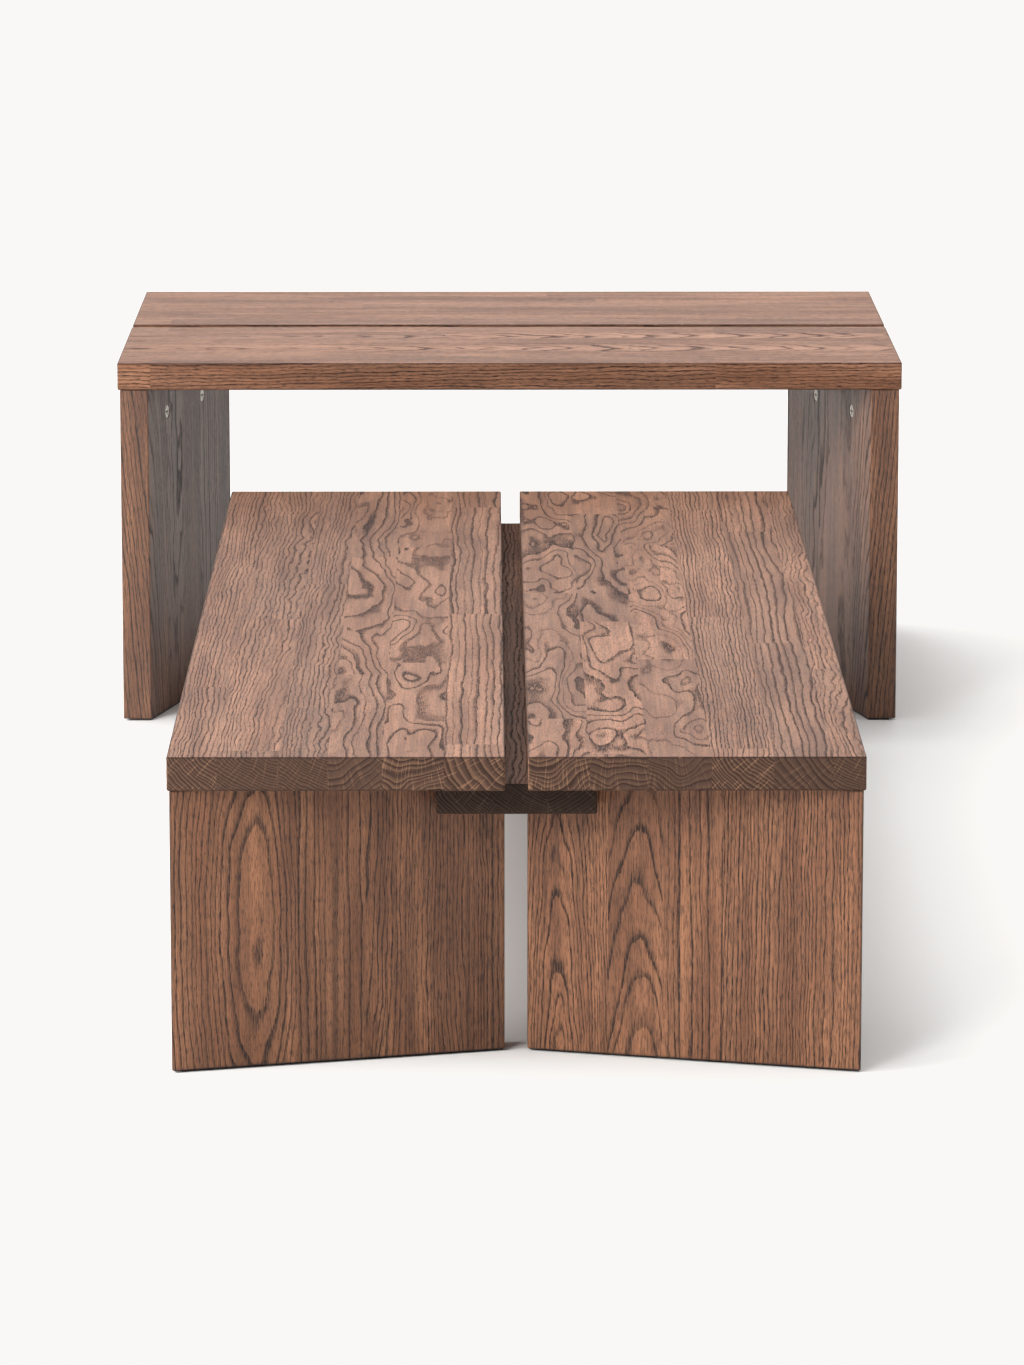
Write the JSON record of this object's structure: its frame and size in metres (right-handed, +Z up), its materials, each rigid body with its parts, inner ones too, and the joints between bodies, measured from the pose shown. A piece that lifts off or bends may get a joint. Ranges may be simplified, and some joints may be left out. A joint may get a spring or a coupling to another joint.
{
  "type": "nesting tables",
  "caption": "Two solid oak coffee tables on V-set leg panels; the long low one slides beneath the short tall one. Open gap along each top over a central rail.",
  "frame": {"origin": "centre of the overall footprint, on the floor, with the low table drawn out in front", "axes": "+X to the right along the tall table's length, +Y from the low table in front to the tall table behind, +Z up"},
  "size_m": [0.8604, 2.135, 0.4],
  "materials": {
    "oak_top": "brushed, brown stain, matt oil",
    "oak_leg": "brushed, brown stain, matt oil",
    "oak_rail": "dark brown stain, matt oil",
    "beech": "bare",
    "felt": "pressed felt",
    "zinc": "die-cast, satin",
    "steel": "zinc plated"
  },
  "bodies": {
    "tall_table": {"tall_front_board": "oak_top", "tall_back_board": "oak_top", "tall_rail": "oak_rail", "tall_front_left_leg": "oak_leg", "tall_front_right_leg": "oak_leg", "tall_back_left_leg": "oak_leg", "tall_back_right_leg": "oak_leg", "tall_felt_pads": "felt", "tall_cam_locks": "zinc", "tall_cam_bolts": "steel", "tall_dowels": "beech", "tall_rail_screws": "steel"},
    "low_table": {"low_left_board": "oak_top", "low_right_board": "oak_top", "low_rail": "oak_rail", "low_front_left_leg": "oak_leg", "low_front_right_leg": "oak_leg", "low_back_left_leg": "oak_leg", "low_back_right_leg": "oak_leg", "low_felt_pads": "felt", "low_cam_locks": "zinc", "low_cam_bolts": "steel", "low_dowels": "beech", "low_rail_screws": "steel"}
  },
  "joints": [
    {"name": "nest_slide", "type": "slide", "parent": "tall_table", "child": "low_table", "axis": [0, 1, 0], "range_m": [0, 1.135]}
  ]
}
